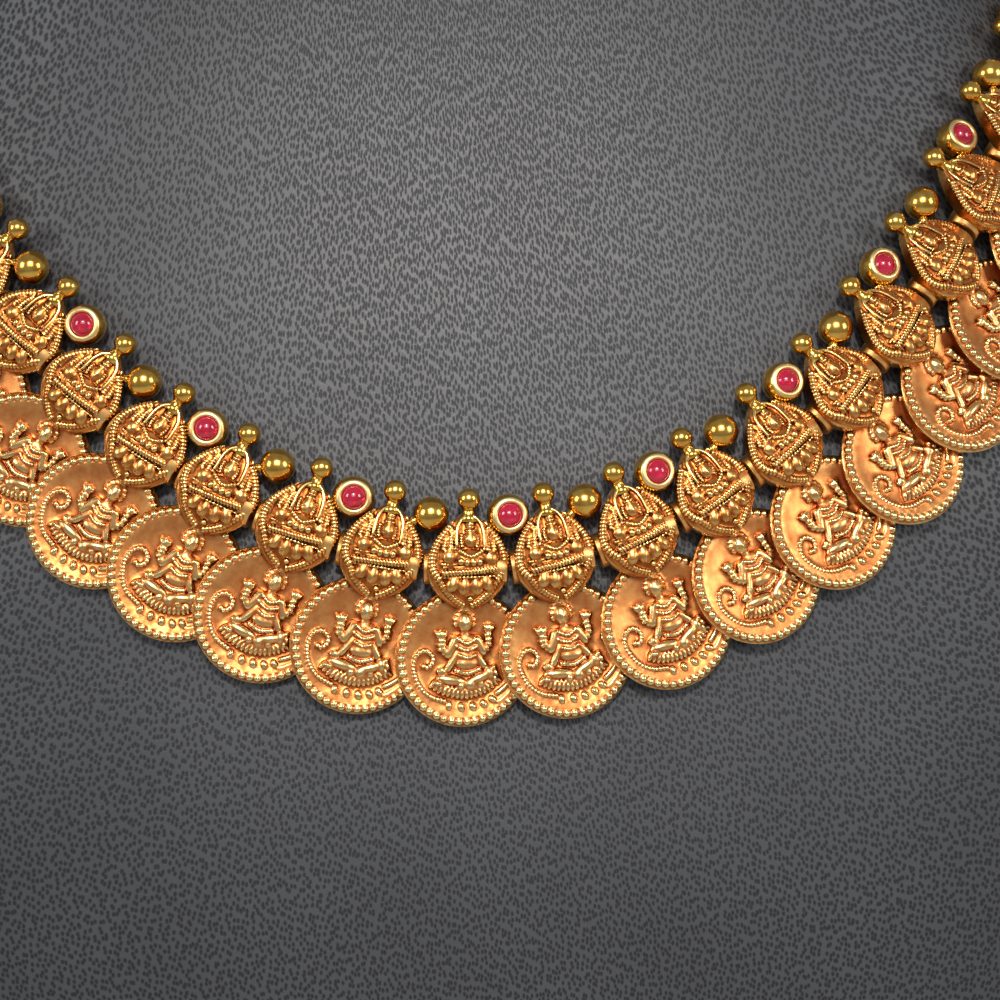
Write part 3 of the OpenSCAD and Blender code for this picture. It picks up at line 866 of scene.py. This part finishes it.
def leatherette(name, coordinates, dimensions, tall):
    material, tree, place = new_material(name, coordinates)
    across, along = per_mm(PIT_PITCH), per_mm(PIT_PITCH * tall)
    pulled = add_node(tree, "ShaderNodeMapping", inputs={
        "Vector": place, "Rotation": (0, 0, math.radians(GRAIN_TURN)),
        "Scale": (across, along, across)}).outputs["Vector"]
    wander = add_node(tree, "ShaderNodeTexNoise", inputs={
        "Vector": pulled, "Scale": 0.7, "Detail": 2.0}).outputs["Color"]
    bent = add_node(tree, "ShaderNodeMix", {"data_type": "RGBA", "blend_type": "LINEAR_LIGHT"}, {
        0: 0.12, 6: pulled, 7: wander}).outputs[2]
    pits = add_node(tree, "ShaderNodeTexVoronoi", {
        "feature": "F1", "voronoi_dimensions": dimensions}, {
        "Vector": bent, "Scale": 1.0, "Randomness": 0.75}).outputs["Distance"]
    plump = add_node(tree, "ShaderNodeMapRange", {"interpolation_type": "SMOOTHSTEP"}, {
        "Value": pits, "From Min": 0.16, "From Max": 0.52}).outputs["Result"]
    cloud = add_node(tree, "ShaderNodeTexNoise", inputs={
        "Vector": place, "Scale": per_mm(CLOUD_MM), "Detail": 3.0}).outputs["Fac"]
    fine = add_node(tree, "ShaderNodeTexNoise", inputs={
        "Vector": bent, "Scale": 3.4, "Detail": 2.0}).outputs["Fac"]
    speckled = add_node(tree, "ShaderNodeMath", {"operation": "MULTIPLY_ADD"}, {
        0: fine, 1: 0.8, 2: -0.4}).outputs[0]
    tone = add_node(tree, "ShaderNodeMath", {"operation": "ADD"}, {
        0: plump, 1: speckled}).outputs[0]
    # Painted shade: the colour is darkest in the pits and lighter on the ground between them.
    colour = add_node(tree, "ShaderNodeValToRGB", inputs={"Fac": tone})
    set_stops(colour, [(0.0, "#1E1F23"), (0.5, "#34353A"), (1.0, "#47494D")])
    shaded = add_node(tree, "ShaderNodeMix", {"data_type": "RGBA", "blend_type": "OVERLAY"}, {
        0: 0.25, 6: colour.outputs["Color"], 7: cloud}).outputs[2]
    rough = add_node(tree, "ShaderNodeMapRange", inputs={
        "Value": tone, "To Min": 0.62, "To Max": 0.42}).outputs["Result"]
    bump = add_node(tree, "ShaderNodeBump", inputs={
        "Height": tone, "Strength": 0.6, "Distance": 0.06 * MM}).outputs["Normal"]
    shader = add_node(tree, "ShaderNodeBsdfPrincipled", inputs={
        "Base Color": shaded, "Roughness": rough, "Normal": bump, "IOR": 1.5})
    add_node(tree, "ShaderNodeOutputMaterial", inputs={"Surface": shader.outputs["BSDF"]})
    return material


bust_skin = leatherette("pvc_leatherette_stretched", "UV", "2D", 1.36)
foot_skin = leatherette("pvc_leatherette_flat", "Object", "3D", 1.0)


# %% [markdown]
# ## Waxed cotton
#
# The thread shows only in the gaps between tubes. It is twisted cotton in red-brown wax, which
# gives it a soft sheen. Its colour is darker where its fibre pattern dips, as the bump does.

# %% Waxed cotton
def waxed_cotton():
    material, tree, place = new_material("waxed_cotton_cord")
    fibre = add_node(tree, "ShaderNodeTexNoise", inputs={
        "Vector": place, "Scale": per_mm(0.25), "Detail": 4.0}).outputs["Fac"]
    # Darker where the fibre pattern dips, the same pattern that makes the bump.
    tint = add_node(tree, "ShaderNodeValToRGB", inputs={"Fac": fibre})
    set_stops(tint, [(0.3, "#3A1A10"), (0.7, "#6E3A22")])
    bump = add_node(tree, "ShaderNodeBump", inputs={
        "Height": fibre, "Strength": 0.5, "Distance": 0.05 * MM}).outputs["Normal"]
    shader = add_node(tree, "ShaderNodeBsdfPrincipled", inputs={
        "Base Color": tint.outputs["Color"], "Roughness": 0.6, "Normal": bump})
    add_node(tree, "ShaderNodeOutputMaterial", inputs={"Surface": shader.outputs["BSDF"]})
    return material


cord_wax = waxed_cotton()

# %% [markdown]
# ## Putting the links together
#
# The links are alike apart from their spacer, so one set of parts is made and then copied to
# each place. The place is baked into each copy's mesh, and its object stays at the origin.

# %% Joining copies
def part_from(bm, name, material):
    part = finished(name, bm)
    part.data.materials.append(material)
    return part


def placed_copy(part, place):
    copy = part.copy()
    copy.data = part.data.copy()
    copy.data.transform(place)
    bpy.context.scene.collection.objects.link(copy)
    return copy


def joined(name, parts):
    """One object from several. The parts are used up."""
    with bpy.context.temp_override(active_object=parts[0], object=parts[0],
                                   selected_editable_objects=parts, selected_objects=parts):
        bpy.ops.object.join()
    parts[0].name = parts[0].data.name = name
    return parts[0]


def discard(*parts):
    for part in parts:
        mesh = part.data
        bpy.data.objects.remove(part)
        bpy.data.meshes.remove(mesh)


# %% The coin links
COIN_DROP = 9.9
FIRST = -LINKS // 2
coin.data.transform(Matrix.Translation((0, -COIN_DROP, 0)))
coin.data.materials.append(cast_gold)
shield.data.materials.append(shield_gold)
finial_part = part_from(finial(), "finial", burnished)
ball_part = part_from(spacer_ball(), "spacer_ball", burnished)
bezel_part = part_from(bezel(), "bezel", burnished)
# The lip's faces take the paler gold, a painted highlight.
bezel_part.data.materials.append(satin_lip_painted_highlight)
for polygon in bezel_part.data.polygons:
    from_middle = polygon.center - SPACER
    on_lip = from_middle.z > LIP_Z and from_middle.xy.length < LIP_R
    polygon.material_index = int(on_lip)
tab_part = part_from(tab(), "tab", burnished)
tube_part = part_from(tube(), "tube", tube_gold)
stone_part = part_from(cabochon(), "stone", ruby_red)


def holds_ruby(k):
    return (k + 1) % 2 == 0


def triangles_of(piece):
    return sum(len(p.vertices) - 2 for p in piece.data.polygons)


rubies = 0
total = 0
for number in range(LINKS):
    k = FIRST + number
    place = link_place(k)
    spacer = bezel_part if holds_ruby(k) else ball_part
    parts = [placed_copy(part, place)
             for part in (coin, shield, finial_part, tab_part, spacer)]
    parts.append(placed_copy(tube_part, link_seat(k)))
    link = joined(f"link_{number + 1:02d}", parts)
    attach(link, "root")
    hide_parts(f"coin_link_{number + 1:02d}")
    total += triangles_of(link)
    if holds_ruby(k):
        rubies += 1
        stone = placed_copy(stone_part, place)
        stone.name = stone.data.name = f"cabochon_{rubies:02d}"
        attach(stone, "root")
        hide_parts(f"ruby_{rubies:02d}")
        total += triangles_of(stone)
discard(coin, shield, finial_part, ball_part, bezel_part, tab_part, tube_part, stone_part)
print("links:", LINKS, "rubies:", rubies, "triangles:", total)

# %% [markdown]
# ## The thread
#
# Three twisted plies of cord run through the tubes into the two end caps. A grid wrapped round
# the thread's line, with a three-lobed section that turns as it goes, gives the twist with few
# faces.

# %% Wrapping a grid
def wrapped_grid(columns, rows, at, uv):
    """A grid whose corners are moved to at(i, j), with its own UV map from uv(i, j)."""
    bm = bmesh.new()
    bmesh.ops.create_grid(bm, x_segments=columns, y_segments=rows, size=0.5)
    layer = bm.loops.layers.uv.new("UVMap")
    spots = {v: (round((v.co.x + 0.5) * columns), round((v.co.y + 0.5) * rows))
             for v in bm.verts}
    for face in bm.faces:
        for loop in face.loops:
            loop[layer].uv = uv(*spots[loop.vert])
    for vert, (i, j) in spots.items():
        vert.co = at(i, j)
    bmesh.ops.remove_doubles(bm, verts=bm.verts, dist=1e-7)
    return bm


def close_ends(bm):
    """Fills the open ends and lays their UVs flat."""
    layer = bm.loops.layers.uv.active
    rim = [edge for edge in bm.edges if edge.is_boundary]
    for face in bmesh.ops.holes_fill(bm, edges=rim, sides=0)["faces"]:
        for loop in face.loops:
            loop[layer].uv = loop.vert.co.xy
    return bm


# %% The thread's line
THREAD_R = 0.45
THREAD_LAY_MM = 2.4
THREAD_STEP_MM = 0.5
CLASP_D, RING_R, RING_WIRE_D = 2.6, 1.6, 0.8
CHAIN_LIFT = CLASP_D / 2 + GAP + 0.45
EYE_BACK = RING_R + RING_WIRE_D / 2 - 0.3
COIN_END = LINKS / 2 * PITCH
CAP_START, CAP_L, CAP_BORE = 0.35, 4.2, 3
CAP_EYE = COIN_END + CAP_START + CAP_L + EYE_BACK


def cap_point(side, far):
    start = joint(side * LINKS // 2)
    eye = over_route(side * CAP_EYE, CHAIN_LIFT)
    return start + far * (eye - start).normalized()


thread_end = CAP_START + CAP_BORE - 0.4
thread_line = [cap_point(-1, thread_end), *(joint(k) for k in range(FIRST, LINKS // 2 + 1)),
               cap_point(1, thread_end)]
line_lengths = np.cumsum([0] + [(b - a).length for a, b in zip(thread_line, thread_line[1:])])
THREAD_STEPS = round(line_lengths[-1] / THREAD_STEP_MM)
THREAD_SIDES = 12
AHEAD = 0.1


def on_thread(s):
    return Vector([float(np.interp(s, line_lengths, [p[axis] for p in thread_line]))
                   for axis in range(3)])


def thread_point(i, j):
    s = line_lengths[-1] * i / THREAD_STEPS
    start = min(s, line_lengths[-1] - AHEAD)
    here = on_thread(start)
    along = (on_thread(start + AHEAD) - here).normalized()
    out = square_to(bust_normal(plan_angle(here), here.z), along)
    turn = math.tau * (j % THREAD_SIDES) / THREAD_SIDES
    radius = THREAD_R * (0.86 + 0.14 * math.cos(3 * turn))
    spun = turn + math.tau * s / (3 * THREAD_LAY_MM)
    return MM * (here + radius * (math.cos(spun) * out + math.sin(spun) * out.cross(along)))


cord_mesh = wrapped_grid(THREAD_STEPS, THREAD_SIDES, thread_point, lambda i, j: (i, j))
thread = part_from(close_ends(cord_mesh), "thread_cord", cord_wax)
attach(thread, "root")
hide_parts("thread")
print("thread length in mm:", round(float(line_lengths[-1])), "triangles:", triangles_of(thread))

# %% [markdown]
# ## End caps, chain and clasp
#
# The rest of the loop is plain turned and bent wire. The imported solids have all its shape, so
# they are kept and only get the gold.

# %% The back of the necklace
for name in ("end_cap_left", "end_cap_right", "chain_left", "chain_right", "clasp"):
    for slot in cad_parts[name].material_slots:
        slot.material = burnished

# %% [markdown]
# ## The neck bust and its foot
#
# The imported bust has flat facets. The real one is smooth, with the skin pulled tight, so a fine
# grid is wrapped round the same sections. It meets itself at the back, where a real wrap has its
# seam, and its UV map runs in metres along the skin for the grain.

# %% The bust's skin
BUST_H, FOOT_T, EDGE_R = 270, 8, 6
BUST_FLOOR = FOOT_T + 0.2
BUST_SIDES, BUST_ROWS, EDGE_ROWS = 144, 90, 8
MEAN_R = 80


def bust_row(j):
    """Height and inset of a row, with the neck's top edge rounded."""
    if j <= BUST_ROWS:
        return BUST_FLOOR + (BUST_H - EDGE_R - BUST_FLOOR) * j / BUST_ROWS, 0.0
    turn = math.pi / 2 * (j - BUST_ROWS) / EDGE_ROWS
    return BUST_H - EDGE_R + EDGE_R * math.sin(turn), EDGE_R * (1 - math.cos(turn))


def skin_point(i, j):
    z, inset = bust_row(j)
    angle = 180 + 360 * (i % BUST_SIDES) / BUST_SIDES
    return MM * bust_point(angle, z, inset)


def skin_uv(i, j):
    z, inset = bust_row(j)
    return MM * MEAN_R * math.tau * i / BUST_SIDES, MM * (z + inset)


skin = wrapped_grid(BUST_SIDES, BUST_ROWS + EDGE_ROWS, skin_point, skin_uv)
bust = part_from(close_ends(skin), "bust_skin", bust_skin)
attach(bust, "root")
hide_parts("neck_bust")
print("bust triangles:", triangles_of(bust))

# %% The foot
FOOT_W, FOOT_D = 100, 61
FOOT_SIDES = 72
FOOT_EDGE_R = 1.6
bm = bmesh.new()
outline = [oval_point(360 * i / FOOT_SIDES, FOOT_W, FOOT_D + BUST_Y, FOOT_D - BUST_Y)
           for i in range(FOOT_SIDES)]
slab = bm.faces.new([bm.verts.new((x, y, 0)) for x, y in outline])
raised = bmesh.ops.extrude_face_region(bm, geom=[slab])["geom"]
top = [part for part in raised if isinstance(part, bmesh.types.BMVert)]
bmesh.ops.translate(bm, verts=top, vec=(0, 0, FOOT_T))
rims = [edge for edge in bm.edges if abs(edge.verts[0].co.z - edge.verts[1].co.z) < 0.1]
bmesh.ops.bevel(bm, geom=rims, offset=FOOT_EDGE_R, segments=4, profile=0.5, affect="EDGES",
                material=-1)
bmesh.ops.scale(bm, vec=(MM, MM, MM), verts=bm.verts)
foot = part_from(bm, "foot_slab", foot_skin)
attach(foot, "root")
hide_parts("foot")
print("foot triangles:", triangles_of(foot))

# %% [markdown]
# ## The camera
#
# The picture is a close view from a little above, with the camera turned a few degrees about
# its own axis. A long lens gives the mild perspective in which the links at the sides are a
# little smaller.

# %% The camera
AZIMUTH, ELEVATION, ROLL = (math.radians(x) for x in (1.9, 18.0, 3.9))
DISTANCE_MM = 200
TARGET = Vector((-0.3, -38.5, 160.5)) * MM
MM_PER_PIXEL, IMAGE_WIDTH, SENSOR = 0.11, 1000, 36
look = Vector((math.sin(AZIMUTH) * math.cos(ELEVATION), math.cos(AZIMUTH) * math.cos(ELEVATION),
               -math.sin(ELEVATION)))
level_right = Vector((math.cos(AZIMUTH), -math.sin(AZIMUTH), 0))
level_up = level_right.cross(look)
cam_right = level_right * math.cos(ROLL) - level_up * math.sin(ROLL)
cam_up = level_right * math.sin(ROLL) + level_up * math.cos(ROLL)
eye = TARGET - look * DISTANCE_MM * MM
lens = bpy.data.cameras.new("camera")
lens.sensor_width = SENSOR
lens.lens = SENSOR * DISTANCE_MM / (MM_PER_PIXEL * IMAGE_WIDTH)
lens.clip_start, lens.clip_end = 0.01, 10
camera = bpy.data.objects.new("camera", lens)
camera.matrix_world = Matrix.Translation(eye) @ Matrix(
    (cam_right, cam_up, -look)).transposed().to_4x4()
bpy.context.scene.collection.objects.link(camera)
bpy.context.scene.camera = camera
bpy.context.scene.view_settings.view_transform = "Standard"
print("lens in mm:", round(lens.lens, 1))

# %% [markdown]
# ## Light and floor
#
# Gold shows its surroundings more than its own colour. One large softbox just above the camera
# and a smaller one on either side give every ball the three highlights in a row, and the dim
# room between them keeps the sides of each form dark enough to read. A soft-edged beam lights
# the middle of the bust more than its edges.

# %% Softboxes
def away_from_target(side, up):
    """A direction given by its angles to the right of the camera's axis and above it."""
    side, up = math.radians(side), math.radians(up)
    return (cam_right * math.sin(side) * math.cos(up) + cam_up * math.sin(up)
            - look * math.cos(side) * math.cos(up))


def aimed_lamp(lamp, side, up, distance, power, tint, raised=0.0):
    lamp.energy, lamp.color = power, hex_colour(tint)[:3]
    away = away_from_target(side, up)
    box = bpy.data.objects.new(lamp.name, lamp)
    box.location = TARGET + cam_up * raised + away * distance
    box.rotation_euler = away.to_track_quat("Z", "Y").to_euler()
    bpy.context.scene.collection.objects.link(box)


def softbox(name, side, up, distance, size, power, tint):
    lamp = bpy.data.lights.new(name, "AREA")
    lamp.shape, lamp.size, lamp.size_y = "RECTANGLE", *size
    aimed_lamp(lamp, side, up, distance, power, tint)


softbox("key_softbox", side=0, up=20, distance=0.5, size=(0.3, 0.26), power=0.66,
        tint="#FFFAF2")
for name, side in (("left_softbox", -54), ("right_softbox", 54)):
    softbox(name, side, up=12, distance=0.55, size=(0.16, 0.22), power=0.75, tint="#FFFDF8")

# %% A narrow beam that brightens the middle
beam = bpy.data.lights.new("beam", "SPOT")
beam.spot_size, beam.spot_blend, beam.shadow_soft_size = math.radians(20), 1.0, 0.025
aimed_lamp(beam, side=0, up=24, distance=0.5, power=8.0, tint="#FFF8F0", raised=0.006)

# %% The room and the floor
FLOOR_HALF = 1.5
ROOM_STRENGTH = 0.44
room = bpy.data.worlds.new("room")
room.use_nodes = True
room.node_tree.nodes["Background"].inputs["Color"].default_value = hex_colour("#C9CDD4")
room.node_tree.nodes["Background"].inputs["Strength"].default_value = ROOM_STRENGTH
bpy.context.scene.world = room

bm = bmesh.new()
bmesh.ops.create_grid(bm, x_segments=1, y_segments=1, size=FLOOR_HALF)
material, tree, place = new_material("pale_matt_tabletop")
mottle = add_node(tree, "ShaderNodeTexNoise", inputs={"Vector": place, "Scale": 18.0})
tint = add_node(tree, "ShaderNodeValToRGB", inputs={"Fac": mottle.outputs["Fac"]})
set_stops(tint, [(0.3, "#D9D7D2"), (0.7, "#E2E0DC")])
paint = add_node(tree, "ShaderNodeBsdfPrincipled", inputs={
    "Base Color": tint.outputs["Color"], "Roughness": 0.7})
add_node(tree, "ShaderNodeOutputMaterial", inputs={"Surface": paint.outputs["BSDF"]})
floor = part_from(bm, "floor", material)
